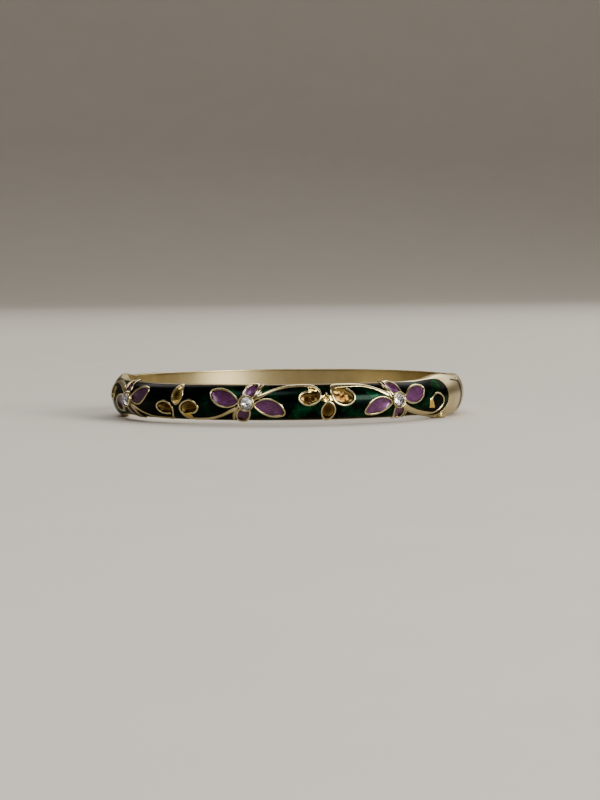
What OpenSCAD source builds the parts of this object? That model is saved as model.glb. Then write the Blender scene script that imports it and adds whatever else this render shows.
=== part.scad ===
// A hinged bangle, lying on its side as it rests by itself. Millimetres.
// The ring's axis is +Z and the surface it lies on is z = 0. The origin is at the middle of its footprint.
// The decorated half faces -Y, the hinge is at -X and the clasp is at +X.
// Angles along the band count from the middle flower (at -Y), positive towards the clasp.

/* [Ring] */
// Inner diameter of the closed bangle
inner_d = 61.6; // [58:0.2:66]
// Thickness of the plain end caps, inner face to crown
cap_thick = 3.2; // [3.1:0.05:3.6]
// Height of the domed band
band_h = 6.6; // [6.4:0.1:6.7]
// Greatest height of the end caps of the decorated half
cap_h = 8.2; // [8:0.1:9]
// Gap between the two halves at each seam
seam_gap = 0.1; // [0.06:0.02:0.2]

/* [Enamel] */
// Radius of the band's round outer face, seen in section
dome_r = 3.45; // [3.4:0.05:3.8]
// How far the glass crown lies below the crown of the caps
glass_drop = 0.25; // [0.15:0.05:0.4]
// Thickness of the glass
glass_t = 0.3; // [0.2:0.05:0.35]
// Gap left round each piece of glass
glass_gap = 0.04; // [0.03:0.01:0.06]
// Width of the plain metal edge beside the glass
edge_w = 0.18; // [0.14:0.02:0.3]
// Depth of the open gold loops below the glass surface
loop_depth = 0.9; // [0.6:0.1:1.1]

/* [Wires] */
// Width of a raised wire
wire_w = 0.36; // [0.3:0.01:0.42]
// Height of the wires above the glass
wire_rise = 0.2; // [0.1:0.05:0.3]

/* [Flowers] */
// Angle from one flower to the next
flower_pitch = 50; // [48:0.5:51]
// Outer radius of a crystal's round setting
bezel_r = 1.55; // [1.4:0.05:1.7]
// Radius of a crystal
crystal_r = 1.2; // [1.1:0.05:1.25]
// Height of a setting above the glass
bezel_rise = 0.5; // [0.3:0.05:0.7]

/* [Hinge and clasp] */
// Radius of the hinge knuckles
knuckle_r = 0.95; // [0.9:0.05:1]
// Radius of the hinge pin
pin_r = 0.4; // [0.3:0.05:0.45]
// Widest opening of the hinge, in degrees
open_angle = 70; // [50:1:72]
// Height of the clasp's tongue
tongue_h = 4; // [3:0.2:4.4]
// Thickness of the clasp's tongue
tongue_t = 1; // [0.8:0.05:1.05]
// Clearance round the tongue in its socket
tongue_gap = 0.1; // [0.08:0.01:0.15]

/* [Hidden] */
$fn = 96;

gold = [0.86, 0.74, 0.48];
green_glass = [0.02, 0.16, 0.08];
purple_glass = [0.36, 0.16, 0.42];
crystal_white = [0.92, 0.93, 0.95];

inner_r = inner_d / 2;
cap_crown_r = inner_r + cap_thick;
glass_crown_r = cap_crown_r - glass_drop;
dome_c = glass_crown_r - dome_r;
half_h = band_h / 2;
half_cap = cap_h / 2;
// Half the height at the seams, which the plain half keeps at its ends
half_seam = half_h + 0.1;
mid_z = half_cap;
glass_half = half_h - edge_w;
bed_r = dome_r - glass_t;
// The caps' section is a flatter arc than the band's
cap_dome_r = 5.2;
cap_dome_c = cap_crown_r - cap_dome_r;
// Angles at which the caps start to swell, at which they are full, and at which their edges start to fall
flare_from = 62;
flare_to = 76;
fall_from = 78;
// Angle of the centre of the glass's round end, and its radius, a little more than half the glass's height
glass_end = 69.4;
glass_end_spread = 0.63;
glass_end_r = glass_half + glass_end_spread;
seam_angle = seam_gap / 2 / (inner_r + cap_thick / 2) * 180 / PI;
// Least metal between the glass and the ring's inner face
bed_wall = 0.3;
// Larger than the section, for cutting shapes
far = 12;
// How far a cutter reaches past the metal
spare = 3;
// Cutters that meet end to end overlap by this
touch = 0.01;

// Hinge. How far its knuckles lie below the caps' crown, and how far they keep from the band's edges
knuckle_sink = 0.3;
knuckle_inset = 0.4;
knuckle_gap = 0.08;
pin_gap = 0.03;
hinge_x = -(cap_crown_r - knuckle_r - knuckle_sink);
knuckle_z = [for (i = [0 : 3]) mid_z + (half_h - knuckle_inset) * (2 * i / 3 - 1)];
// The notch beside the hinge opens this many degrees further than half the hinge's swing
notch_spare = 2;

// Clasp. The tongue and its socket curve about the hinge, so they part freely
// Metal between the tongue and the ring's inner face, then the tongue's inner radius about the hinge
tongue_wall = 0.85;
tongue_in = inner_r - hinge_x + tongue_wall;
// How far the tongue reaches into the front half, its depth in the back half, and the room at its tip
tongue_reach = 6;
tongue_root = 2.6;
tongue_end_gap = 0.3;
// Room round the tongue's root
root_gap = 0.03;

function smooth(u) = u * u * (3 - 2 * u);
function along(s) = glass_crown_r * sin(s / glass_crown_r * 180 / PI);
function arc_mm(angle) = angle * PI / 180 * glass_crown_r;

// A point on a smooth curve through the rows p0 to p3, at u from p1 to p2
function spline_row(p0, p1, p2, p3, u) =
    0.5 * (2 * p1 + (p2 - p0) * u + (2 * p0 - 5 * p1 + 4 * p2 - p3) * u * u
    + (3 * p1 - p0 - 3 * p2 + p3) * u * u * u);
function spline(rows, steps) =
    let (n = len(rows))
    [for (i = [0 : n - 2]) for (k = [0 : steps - (i == n - 2 ? 0 : 1)])
        spline_row(rows[max(i - 1, 0)], rows[i], rows[i + 1], rows[min(i + 2, n - 1)], k / steps)];

// The direction across a line of rows at row i
function across(rows, i) =
    let (a = rows[max(i - 1, 0)], b = rows[min(i + 1, len(rows) - 1)], d = [b[0] - a[0], b[1] - a[1]])
    [-d[1], d[0]] / norm(d);
// One side of a wire: each row holds s, z and the wire's width there
function wire_side(rows, side, grow) =
    [for (i = [0 : len(rows) - 1])
        let (p = [rows[i][0], rows[i][1]] + side * (rows[i][2] / 2 + grow) * across(rows, i))
        [along(p[0]), p[1]]];
function reversed(list) = [for (i = [len(list) - 1 : -1 : 0]) list[i]];

// A wire along rows of s, z and width
module wire(rows, grow = 0) {
    polygon(concat(wire_side(rows, 1, grow), reversed(wire_side(rows, -1, grow))));
}

// A leaf outline of two arcs from point a to point b, with a bulge on each side of the line between them.
// inset moves both arcs inwards
module leaf(a, b, left, right, inset = 0) {
    chord = norm(b - a);
    r_left = (chord * chord / 4 + left * left) / (2 * left);
    r_right = (chord * chord / 4 + right * right) / (2 * right);
    translate(a)
        rotate(atan2(b[1] - a[1], b[0] - a[0]))
            intersection() {
                translate([chord / 2, left - r_left])
                    circle(r_left - inset);
                translate([chord / 2, r_right - right])
                    circle(r_right - inset);
            }
}

// Flower, drawn flat round its crystal: x runs along the band, y across it

// Each leaf's base point, tip point, left bulge and right bulge
petal_long = [[1.1, -0.3], [7.4, -2.2], 2.1, 1.2];
petal_short = [[-0.45, 0.3], [2.25, 3.3], 1.6, 0.95];
gold_leaf = [[1.3, 0.1], [3.1, 3.4], 0.45, 0.45];

module leaf_shape(leaf, inset) {
    leaf(leaf[0], leaf[1], leaf[2], leaf[3], inset);
}

// Inside of petal k of a flower: 0 and 1 are the long petals, 2 and 3 the short ones
module petal_cell(k, inset) {
    rotate(k % 2 * 180)
        difference() {
            leaf_shape(k < 2 ? petal_long : petal_short, wire_w + inset);
            circle(bezel_r + inset);
            if (k >= 2)
                for (turn = [0, 180])
                    rotate(turn)
                        leaf_shape(petal_long, -inset);
        }
}

module flower_outline(grow = 0) {
    circle(bezel_r + grow);
    for (turn = [0, 180])
        rotate(turn) {
            leaf_shape(petal_long, -grow);
            leaf_shape(petal_short, -grow);
            leaf_shape(gold_leaf, -grow);
        }
}

// Trefoil: two vines that wind into loops, and a third leaf, drawn flat round the point between them

spline_steps = 2;

// Start of a vine at its flower. Rows: s from the flower, z, width
vine_rows = [
    [1.8, 0.9, 0.9],
    [3.2, 1.5, 0.7],
    [5.0, 2.25, 0.5]];

// End of a vine and the loop that it winds into. Rows: s from the trefoil, z, width.
// The loop's inner end is joined to the vine at row joins, and its opening starts at row opens
round_rows = [
    [-7.3, 2.82, 0.42],
    [-5.0, 3.0, 0.42],
    [-3.5, 2.98, 0.46],
    [-2.2, 2.78, 0.52],
    [-1.35, 2.15, 0.52],
    [-1.05, 1.2, 0.46],
    [-1.5, 0.3, 0.42],
    [-2.4, -0.25, 0.4],
    [-3.45, -0.42, 0.4],
    [-4.5, 0.0, 0.4],
    [-5.08, 0.75, 0.4],
    [-4.75, 1.45, 0.4],
    [-3.9, 1.88, 0.4],
    [-3.1, 1.88, 0.4]];
square_rows = [
    [-7.3, 2.82, 0.5],
    [-5.0, 2.94, 0.62],
    [-3.5, 2.92, 0.66],
    [-2.3, 2.88, 0.76],
    [-1.4, 2.6, 0.86],
    [-1.1, 1.8, 0.7],
    [-1.2, 0.9, 0.56],
    [-1.75, 0.05, 0.46],
    [-2.75, -0.45, 0.4],
    [-3.8, -0.55, 0.4],
    [-4.85, -0.15, 0.4],
    [-5.4, 0.65, 0.4],
    [-5.2, 1.45, 0.4],
    [-4.6, 2.0, 0.4],
    [-3.9, 2.4, 0.4]];
closed_rows = [
    [-7.3, 2.86, 0.36],
    [-5.0, 3.0, 0.36],
    [-3.5, 3.05, 0.36],
    [-2.3, 3.06, 0.4],
    [-1.7, 2.9, 0.44],
    [-1.3, 2.45, 0.44],
    [-0.8, 1.75, 0.42],
    [-0.8, 0.95, 0.4],
    [-1.6, 0.15, 0.4],
    [-2.95, -0.12, 0.4],
    [-4.3, 0.28, 0.4],
    [-4.8, 1.0, 0.4],
    [-4.35, 1.78, 0.4],
    [-3.4, 2.12, 0.4],
    [-2.3, 2.15, 0.4],
    [-1.5, 2.05, 0.36]];
// Columns: rows, joins, opens
round_loop = [round_rows, 2, 4];
square_loop = [square_rows, 1, 4];
closed_loop = [closed_rows, 5, 6];

// The third leaf: an open drop, or a bud of solid gold
drop = [[0.4, 0.35], [0.4, -3.45], 1.45, 1.45];
bud = [[-0.15, 0.6], [-0.65, -3.2], 1.4, 1.35];
// Little grains between the loops: s, z
grains = [[-0.25, 0.86], [0.5, 0.84], [0.13, 0.42], [0, 1.55]];
grain_r = 0.24;
// The plate under the grains. Rows: s, z, width
grain_plate = [[-1.1, 0.7, 0.8], [0, 0.75, 1.2], [1.2, 0.7, 0.9]];

// Trefoils. Columns: angle, half turns, second loop, third leaf, whether that is an open drop with grains
trefoils = [
    [-flower_pitch / 2, 1, closed_loop, bud, false],
    [flower_pitch / 2, 0, square_loop, drop, true]];

// Rows of a vine and its loop, and the place of one of the loop's own rows among them
function line_rows(loop) =
    spline(concat([for (row = vine_rows) row - [arc_mm(flower_pitch / 2), 0, 0]], loop[0]), spline_steps);
function line_place(i) = (len(vine_rows) + i) * spline_steps;
function from_row(list, first) = [for (i = [first : len(list) - 1]) list[i]];
function to_row(list, last) = [for (i = [0 : last]) list[i]];

// A vine and its loop as one outline: out along its outer side, back from where the loop's inner end joins it
module vine_and_loop(loop, grow) {
    rows = line_rows(loop);
    polygon(concat(
        wire_side(rows, 1, grow),
        reversed(to_row(wire_side(rows, -1, grow), line_place(loop[1])))));
    wire([loop[0][len(loop[0]) - 1], loop[0][loop[1]]], grow);
}

module loop_opening(loop) {
    polygon(from_row(wire_side(line_rows(loop), -1, 0), line_place(loop[2])));
}

module trefoil_outline(trefoil, grow = 0) {
    vine_and_loop(round_loop, grow);
    mirror([1, 0])
        vine_and_loop(trefoil[2], grow);
    leaf_shape(trefoil[3], -grow);
    if (trefoil[4]) {
        wire(grain_plate, grow);
        for (grain = grains)
            translate(grain)
                circle(grain_r + grow);
    }
}

module trefoil_openings(trefoil) {
    loop_opening(round_loop);
    mirror([1, 0])
        loop_opening(trefoil[2]);
    if (trefoil[4])
        leaf_shape(trefoil[3], wire_w);
}

// Tapered leaf and curled scroll beyond an end flower. Rows: s from the flower, z, width
scroll_rows = [
    [1.4, -0.8, 0.8],
    [2.9, -1.72, 1.0],
    [4.8, -2.26, 0.88],
    [6.8, -2.64, 0.8],
    [8.9, -2.88, 0.66],
    [10.4, -2.86, 0.42],
    [11.75, -2.5, 0.36],
    [12.7, -1.75, 0.36],
    [13.1, -0.9, 0.36],
    [12.8, -0.05, 0.36],
    [11.9, 0.55, 0.36],
    [10.8, 0.79, 0.36],
    [9.8, 0.55, 0.36],
    [9.1, 0.0, 0.4],
    [8.85, -0.4, 0.4]];
// The plate at the scroll's inner end, as a leaf
scroll_plate = [[8.9, 0.2], [9.6, -2.2], 0.6, 0.75];

scroll_mid = 8;
module scroll(grow = 0) {
    wire([for (row = spline(scroll_rows, spline_steps)) row - [scroll_mid, 0, 0]], grow);
    translate([-scroll_mid, 0])
        leaf_shape(scroll_plate, -grow);
}

// Stands a flat drawing on the band at an angle, as a prism along the band's outward direction
module on_band(angle) {
    low = inner_r - spare;
    high = cap_crown_r + spare;
    rotate(angle)
        translate([0, -low, mid_z])
            rotate([90, 0, 0])
                linear_extrude(high - low)
                    children();
}

// Flowers. Columns: angle, whether it is mirrored
flowers = [[-flower_pitch, 1], [0, 0], [flower_pitch, 1]];

module all_scrolls(grow = 0) {
    for (end = [0, 1])
        on_band((end == 0 ? 1 : -1) * (flower_pitch + scroll_mid / arc_mm(1)))
            rotate(end * 180)
                scroll(grow);
}

module motif_prisms(grow = 0) {
    for (flower = flowers)
        on_band(flower[0])
            mirror([flower[1], 0])
                flower_outline(grow);
    for (trefoil = trefoils)
        on_band(trefoil[0])
            rotate(trefoil[1] * 180)
                trefoil_outline(trefoil, grow);
    all_scrolls(grow);
}

// Section shapes, x outwards from the ring's axis and y across the band

module dome_section(centre, r, half, wall = 0) {
    intersection() {
        translate([centre, 0])
            circle(r);
        translate([inner_r + wall, -half])
            square([far, 2 * half]);
    }
}

// Between two arcs, the lower one sunk towards the ring's axis, and never nearer the inner face than wall
module shell_section(r_low, r_high, half, sink = 0, wall = bed_wall) {
    difference() {
        dome_section(dome_c, r_high, half, wall);
        translate([dome_c - sink, 0])
            circle(r_low);
    }
}

// Turns a section about the ring's axis, between two angles along the band
module sweep(from, to) {
    translate([0, 0, mid_z])
        rotate_extrude(angle = to - from, start = from - 90)
            children();
}

// How far the swelling's ends lie inside the domes that they meet
swell_sink = 0.06;
// In degrees: the swelling's lead before its edges flare, how far the cap and the outline overlap it, and how
// far the wedges that slope the cap's edges run on past both of its ends
swell_lead = 4;
swell_overlap = 1;
fall_lead = 4;

// One swelling between band and cap: a cone from the band's dome to the cap's dome
module swell() {
    reach = [flare_from - swell_lead, flare_to];
    low = [dome_c * sin(reach[0]), -dome_c * cos(reach[0])];
    high = [cap_dome_c * sin(reach[1]), -cap_dome_c * cos(reach[1])];
    run = high - low;
    translate([low[0], low[1], mid_z])
        rotate([0, 0, atan2(run[1], run[0])])
            rotate([0, 90, 0])
                cylinder(h = norm(run), r1 = dome_r - swell_sink, r2 = cap_dome_r - swell_sink);
}

// Outline that trims the swelling, drawn flat round its middle, up to half the height that the cap has
module swell_outline(peak) {
    half_flare = (flare_to - flare_from) / 2;
    steps = 8;
    rise = [for (i = [0 : steps])
        [arc_mm(half_flare * (2 * i / steps - 1)), half_h + (peak - half_h) * smooth(i / steps)]];
    start = [-arc_mm(half_flare + swell_lead + swell_overlap), half_h];
    stop = [arc_mm(half_flare + swell_overlap), peak];
    top = concat([start], rise, [stop]);
    polygon(concat(
        [for (p = top) [along(p[0]), p[1]]],
        [for (p = reversed(top)) [along(p[0]), -p[1]]]));
}

// Wedges above and below the cap, drawn flat round fall_from: they slope its edges down to the seam
module cap_fall() {
    slope = (half_cap - half_seam) / arc_mm(90 - fall_from);
    start = -arc_mm(fall_lead);
    stop = arc_mm(90 - fall_from + fall_lead);
    for (edge = [0, 1])
        mirror([0, edge])
            polygon([
                [along(start), half_cap - slope * start],
                [along(stop), half_cap - slope * stop],
                [along(stop), far],
                [along(start), far]]);
}

// Solid metal of one half, before glass beds, hinge and clasp are cut. peak is half the height of its caps
module half_body(peak) {
    last = 90 - seam_angle;
    cap_start = flare_to - swell_overlap;
    sweep(-last, last)
        dome_section(dome_c, dome_r, half_h);
    for (side = [0, 1])
        mirror([side, 0, 0]) {
            difference() {
                sweep(cap_start, last)
                    dome_section(cap_dome_c, cap_dome_r, peak);
                if (peak > half_seam)
                    on_band(fall_from)
                        cap_fall();
            }
            difference() {
                intersection() {
                    swell();
                    on_band((flare_from + flare_to) / 2)
                        swell_outline(peak);
                }
                cylinder(h = cap_h, r = inner_r);
            }
        }
}

// How far the band that the field is cut from runs past its round ends
spare_glass = 0.3;

// The field of glass between two domes: a band with round ends
module glass_field(r_low, r_high, inset) {
    past_end = glass_end + (glass_end_r - inset + spare_glass) / arc_mm(1);
    difference() {
        sweep(-past_end, past_end)
            shell_section(r_low, r_high, glass_half - inset, wall = bed_wall + inset / 2);
        for (side = [0, 1])
            on_band((1 - 2 * side) * glass_end)
                mirror([side, 0])
                    difference() {
                        translate([0, -far / 2])
                            square([far, far]);
                        circle(glass_end_r - inset);
                    }
    }
}

module hinge_place() {
    translate([hinge_x, 0, 0])
        children();
}

// The wedge in front of the hinge that lets the halves fold back
module hinge_notch() {
    notch = open_angle / 2 + notch_spare;
    hinge_place()
        translate([0, 0, -spare])
            linear_extrude(cap_h + 2 * spare)
                polygon([[0, 0], [-far, -far * tan(notch)], [-far, far * tan(notch)]]);
}

// Room for the other half's knuckles, as a list of z spans
module knuckle_room(spans) {
    hinge_place()
        for (span = spans)
            translate([0, 0, span[0]])
                cylinder(h = span[1] - span[0], r = knuckle_r + knuckle_gap);
}

module knuckles(spans) {
    hinge_place()
        for (span = spans)
            translate([0, 0, span[0]])
                cylinder(h = span[1] - span[0], r = knuckle_r);
}

module pin_bore() {
    hinge_place()
        translate([0, 0, -spare])
            cylinder(h = cap_h + 2 * spare, r = pin_r + pin_gap);
}

// A block that curves about the hinge, from one distance along y to another
module clasp_arc(from, to, grow) {
    low = atan2(from, -hinge_x + inner_r);
    high = atan2(to, -hinge_x + inner_r);
    hinge_place()
        translate([0, 0, mid_z])
            rotate_extrude(angle = high - low, start = low)
                translate([tongue_in - grow, -tongue_h / 2 - grow])
                    square([tongue_t + 2 * grow, tongue_h + 2 * grow]);
}

module crystal_seat(angle) {
    rotate(angle)
        translate([0, -glass_crown_r, mid_z])
            rotate([90, 0, 0])
                children();
}

// Heights of a crystal along its own axis, from the glass surface outwards
girdle_h = 0.3;
girdle_t = 0.12;
crown_h = 0.42;
pavilion_h = 0.8;
// Its table as a share of its radius, the small flat at its back, and the room round it
table_share = 0.58;
back_flat_r = 0.08;
seat_gap = 0.04;
// How deep a setting is rooted in the metal
setting_root = 1;

module seat_hole() {
    translate([0, 0, girdle_h])
        cylinder(h = spare, r = crystal_r + seat_gap);
    translate([0, 0, girdle_h - pavilion_h - seat_gap])
        cylinder(h = pavilion_h + seat_gap, r1 = back_flat_r + seat_gap / 2, r2 = crystal_r + seat_gap);
}

front_spans = [[knuckle_z[0], knuckle_z[1]], [knuckle_z[2], knuckle_z[3]]];
back_spans = [[knuckle_z[1] + knuckle_gap, knuckle_z[2] - knuckle_gap]];
front_room = [[knuckle_z[1] - touch, knuckle_z[2] + touch]];
back_room = [[knuckle_z[0] - knuckle_gap, knuckle_z[1] + knuckle_gap],
    [knuckle_z[2] - knuckle_gap, knuckle_z[3] + knuckle_gap]];

// The nub under the cap's lower edge: angles along the band, distances from the ring's axis, height and gap
tab_from = 73.4;
tab_to = 78.2;
tab_r = [inner_r + 1, inner_r + 2.3];
tab_h = 1.2;
tab_gap = 0.04;

// Where the wires end, how deep they are rooted in the metal, and how far they keep inside the band's edges
wires_to = 85;
wire_root = 0.4;
wire_wall = 0.1;
wire_margin = 0.04;
// Angles that the cuts for a flower and for a trefoil reach to each side
flower_reach = 15;
trefoil_reach = 12;
petal_margin = 0.1;

module tab_block(grow) {
    turn = grow / arc_mm(1);
    sweep(tab_from - turn, tab_to + turn)
        translate([tab_r[0] - grow, -half_cap - grow])
            square([tab_r[1] - tab_r[0] + 2 * grow, tab_h + 2 * grow]);
}

module front_half() {
    color(gold)
        difference() {
            union() {
                difference() {
                    half_body(half_cap);
                    glass_field(bed_r, dome_r + spare, 0);
                    hinge_notch();
                    knuckle_room(front_room);
                    clasp_arc(-tongue_reach - tongue_end_gap, spare, tongue_gap);
                    tab_block(tab_gap);
                }
                knuckles(front_spans);
                intersection() {
                    sweep(-wires_to, wires_to)
                        shell_section(bed_r - wire_root, dome_r + wire_rise, half_h - wire_margin,
                            wall = wire_wall);
                    motif_prisms();
                }
                for (flower = flowers)
                    crystal_seat(flower[0])
                        translate([0, 0, -setting_root])
                            cylinder(h = setting_root + bezel_rise, r = bezel_r);
            }
            for (flower = flowers) {
                crystal_seat(flower[0])
                    seat_hole();
                intersection() {
                    on_band(flower[0])
                        mirror([flower[1], 0])
                            for (k = [0 : 3])
                                petal_cell(k, 0);
                    sweep(flower[0] - flower_reach, flower[0] + flower_reach)
                        shell_section(bed_r, dome_r + spare, half_cap);
                }
            }
            for (trefoil = trefoils)
                intersection() {
                    on_band(trefoil[0])
                        rotate(trefoil[1] * 180)
                            trefoil_openings(trefoil);
                    sweep(trefoil[0] - trefoil_reach, trefoil[0] + trefoil_reach)
                        shell_section(dome_r, dome_r + spare, half_cap, loop_depth);
                }
            pin_bore();
        }
}

module green_enamel() {
    color(green_glass)
        difference() {
            glass_field(bed_r + glass_gap / 2, dome_r, glass_gap);
            motif_prisms(glass_gap);
        }
}

// Glass in petal n, counted from 1 at the left flower
module petal_glass(n) {
    flower = flowers[floor((n - 1) / 4)];
    color(purple_glass)
        intersection() {
            on_band(flower[0])
                mirror([flower[1], 0])
                    petal_cell((n - 1) % 4, glass_gap);
            sweep(flower[0] - flower_reach, flower[0] + flower_reach)
                shell_section(bed_r + glass_gap / 2, dome_r + wire_rise / 2, half_h - petal_margin,
                    wall = bed_wall + glass_gap / 2);
        }
}

// A round cut stone: an eight-sided table, sixteen girdle facets and a pointed back
module crystal(angle) {
    corners = 16;
    // The table and the back are turned so that their corners fall between the girdle's
    between = 180 / corners;
    color(crystal_white)
        crystal_seat(angle)
            hull() {
                translate([0, 0, girdle_h + girdle_t + crown_h])
                    rotate(between)
                        cylinder(h = touch, r = table_share * crystal_r, $fn = corners / 2);
                translate([0, 0, girdle_h])
                    cylinder(h = girdle_t, r = crystal_r, $fn = corners);
                translate([0, 0, girdle_h - pavilion_h + seat_gap])
                    rotate(between)
                        cylinder(h = touch, r = back_flat_r, $fn = corners / 2);
            }
}

module hinge_pin() {
    color(gold)
        hinge_place()
            translate([0, 0, knuckle_z[0]])
                cylinder(h = knuckle_z[3] - knuckle_z[0], r = pin_r);
}

module thumb_tab() {
    color(gold)
        tab_block(0);
}

module back_half() {
    color(gold)
        difference() {
            union() {
                difference() {
                    rotate(180)
                        half_body(half_seam);
                    hinge_notch();
                    knuckle_room(back_room);
                    clasp_arc(-spare, tongue_root + root_gap, root_gap);
                }
                knuckles(back_spans);
            }
            pin_bore();
        }
}

module clasp_tongue() {
    color(gold)
        clasp_arc(-tongue_reach, tongue_root, 0);
}

front_half();
green_enamel();
for (n = [1 : 12])
    petal_glass(n);
crystal(-flower_pitch);  // crystal_left
crystal(0);  // crystal_middle
crystal(flower_pitch);  // crystal_right
hinge_pin();
thumb_tab();
back_half();
clasp_tongue();
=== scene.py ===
"""A hinged gold bangle, lying on its side, its front half inlaid with green and purple glass.

Shapes are worked out in millimetres and become metres when their mesh is made. Along the band, turn is the
angle from the middle flower in degrees, positive towards the clasp, and s is the same way as an arc in
millimetres. Across the band, z counts from its middle line. Lift is a height over the glass's crown,
outwards from the band.
"""
import math
from collections import namedtuple

import bmesh
import bpy
import numpy as np
from mathutils import Matrix, Vector


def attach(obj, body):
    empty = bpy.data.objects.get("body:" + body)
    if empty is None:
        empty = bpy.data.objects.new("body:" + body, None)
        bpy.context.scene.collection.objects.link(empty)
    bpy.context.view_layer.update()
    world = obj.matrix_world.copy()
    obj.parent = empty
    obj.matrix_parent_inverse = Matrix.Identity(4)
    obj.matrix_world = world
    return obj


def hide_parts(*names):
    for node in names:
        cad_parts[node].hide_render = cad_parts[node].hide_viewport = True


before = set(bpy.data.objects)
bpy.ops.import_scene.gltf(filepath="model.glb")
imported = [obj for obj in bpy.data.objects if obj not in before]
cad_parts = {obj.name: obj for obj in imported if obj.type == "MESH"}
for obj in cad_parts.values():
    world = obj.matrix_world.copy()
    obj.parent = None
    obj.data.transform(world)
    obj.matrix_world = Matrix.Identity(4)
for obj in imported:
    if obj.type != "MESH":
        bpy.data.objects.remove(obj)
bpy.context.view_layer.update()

# Sizes in millimetres, the same as in the part's source: _r is a radius, _c how far a dome's centre is
# from the ring's axis, _w a width, _t a thickness, and half_ or _half is half a height
MM = 0.001
inner_r = 30.8
cap_crown_r = 34.0
glass_crown_r = 33.75
dome_r = 3.45
dome_c = glass_crown_r - dome_r
cap_dome_r = 5.2
cap_dome_c = cap_crown_r - cap_dome_r
half_h = 3.3
half_cap = 4.1
half_seam = half_h + 0.1
mid_z = half_cap
seam_gap = 0.1
glass_half = 3.12
loop_depth = 0.9
wire_w = 0.36
wire_rise = 0.2
flower_pitch = 50.0
bezel_r = 1.55
crystal_r = 1.2
bezel_rise = 0.5

# In degrees along the band: where the crown and then the height start to swell into the caps, where both
# are full, and where the caps' edges start to fall to the seam
swell_from = 58.0
flare_from = 62.0
flare_to = 76.0
fall_from = 78.0

# The glass's round end: the degree where it starts and its length, and where and how far the field
# spreads first
glass_end = 69.4
glass_end_r = glass_half + 0.63
spread_from = 60.0
spread_over = 9.0
glass_spread = 0.26

# The bed under the glass, from the ring's axis, the gap round the glass, the radius of the metal's rims
# and of its ends, and hair, the small width of a sheer step
bed_floor = 31.3
glass_gap = 0.02
rim_round = 0.12
front_seam_round = 0.45
back_seam_round = 0.12
hair = 0.006

# Hinge and clasp
hinge_x = -32.75
knuckle_r = 0.95
knuckle_room = 1.03
knuckle_z = (1.2, 3.133, 5.067, 7.0)
knuckle_gap = 0.08
knuckle_round = 0.12
pin_r = 0.4
pin_round = 0.1
notch_angle = 37.0
tongue_in = 64.4
tongue_t = 1.0
tongue_half = 2.0
tongue_gap = 0.1
tongue_reach = 6.0
tongue_root = 2.6
socket_spare = 0.3
socket_low = hinge_x + tongue_in - tongue_gap
socket_high = hinge_x + tongue_in + tongue_t + tongue_gap

# The nub under the cap's lower edge: angles along the band, distances from the ring's axis and height
tab_from = 73.4
tab_to = 78.2
tab_in = 31.8
tab_out = 33.1
tab_h = 1.2

# Shape making


def smooth(u):
    """An ease from 0 to 1: three u squared less two u cubed."""
    u = np.clip(u, 0, 1)
    return u * u * (3 - 2 * u)


def quarter(count, short=0.0):
    """Even angles over a quarter of a circle, or over one cut short."""
    return np.linspace(0, math.pi / 2 - short, count)


def whole(count):
    """Even angles round a circle."""
    return np.linspace(0, 2 * math.pi, count, endpoint=False)


def powered(wave, power):
    """A wave's size raised to a power, with its sign kept, which squares off a ring of them."""
    return np.sign(wave) * np.abs(wave) ** power


def between(low, high, shares):
    """Values at the given shares of the way from low to high, along a new last axis."""
    return low[..., None] + (high - low)[..., None] * shares


def arc_mm(turn):
    """The arc at the glass's crown that an angle in degrees spans."""
    return np.radians(turn) * glass_crown_r


glass_tip = arc_mm(glass_end) + glass_end_r
glass_tip_turn = np.degrees(glass_tip / glass_crown_r)


def swelling(turn):
    """Section of the band at an angle: the centre and radius of its crown's circle, which ease from the
    band's to the cap's."""
    share = smooth((np.abs(turn) - swell_from) / (flare_to - swell_from))
    return dome_c + (cap_dome_c - dome_c) * share, dome_r + (cap_dome_r - dome_r) * share


def half_height(turn, peak):
    """Half the metal's height at an angle: it eases from the band's to the cap's peak, then falls
    straight to the seam's."""
    away = np.abs(turn)
    swollen = (peak - half_h) * smooth((away - flare_from) / (flare_to - flare_from))
    fallen = (peak - half_seam) * np.clip((away - fall_from) / (90 - fall_from), 0, 1)
    return half_h + swollen - fallen


def round_the_ring(turn, rho, z):
    """Points at an angle in degrees, a distance from the ring's axis and a height from its middle."""
    turn, rho, z = np.broadcast_arrays(np.radians(turn), rho, z)
    return np.stack([rho * np.sin(turn), -rho * np.cos(turn), mid_z + z], -1)


def on_band(s, z, lift, angle=0.0):
    """Lays a flat drawing on the band. s turns a point about the ring's axis by s over the crown's
    radius, z leans it by the angle whose sine is z over the dome's radius, and lift moves it outwards
    along that lean."""
    turn = angle + np.degrees(s / glass_crown_r)
    centre, radius = swelling(turn)
    lean = np.arcsin(np.clip(z / radius, -0.995, 0.995))
    return round_the_ring(turn, centre + (radius + lift) * np.cos(lean), (radius + lift) * np.sin(lean))


def glass_outline(s):
    """Half height of the glass field at an arc s: a little more towards the caps, and over each end
    multiplied by the square root of one less the 2.4th power of the way to the tip."""
    spread = glass_spread * smooth((np.abs(s) - arc_mm(spread_from)) / arc_mm(spread_over))
    past = np.clip((np.abs(s) - arc_mm(glass_end)) / glass_end_r, 0, 1)
    return (glass_half + spread) * np.sqrt(1 - past ** 2.4)


def grid_quads(rows, cols, wrap_rows=False, wrap_cols=False):
    """Corner numbers of the squares of a grid of points, as one array."""
    r = np.arange(rows if wrap_rows else rows - 1)[:, None]
    c = np.arange(cols if wrap_cols else cols - 1)[None, :]
    r2, c2 = (r + 1) % rows, (c + 1) % cols
    quads = np.stack([r * cols + c, r * cols + c2, r2 * cols + c2, r2 * cols + c], -1)
    return quads.reshape(-1, 4)


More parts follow.
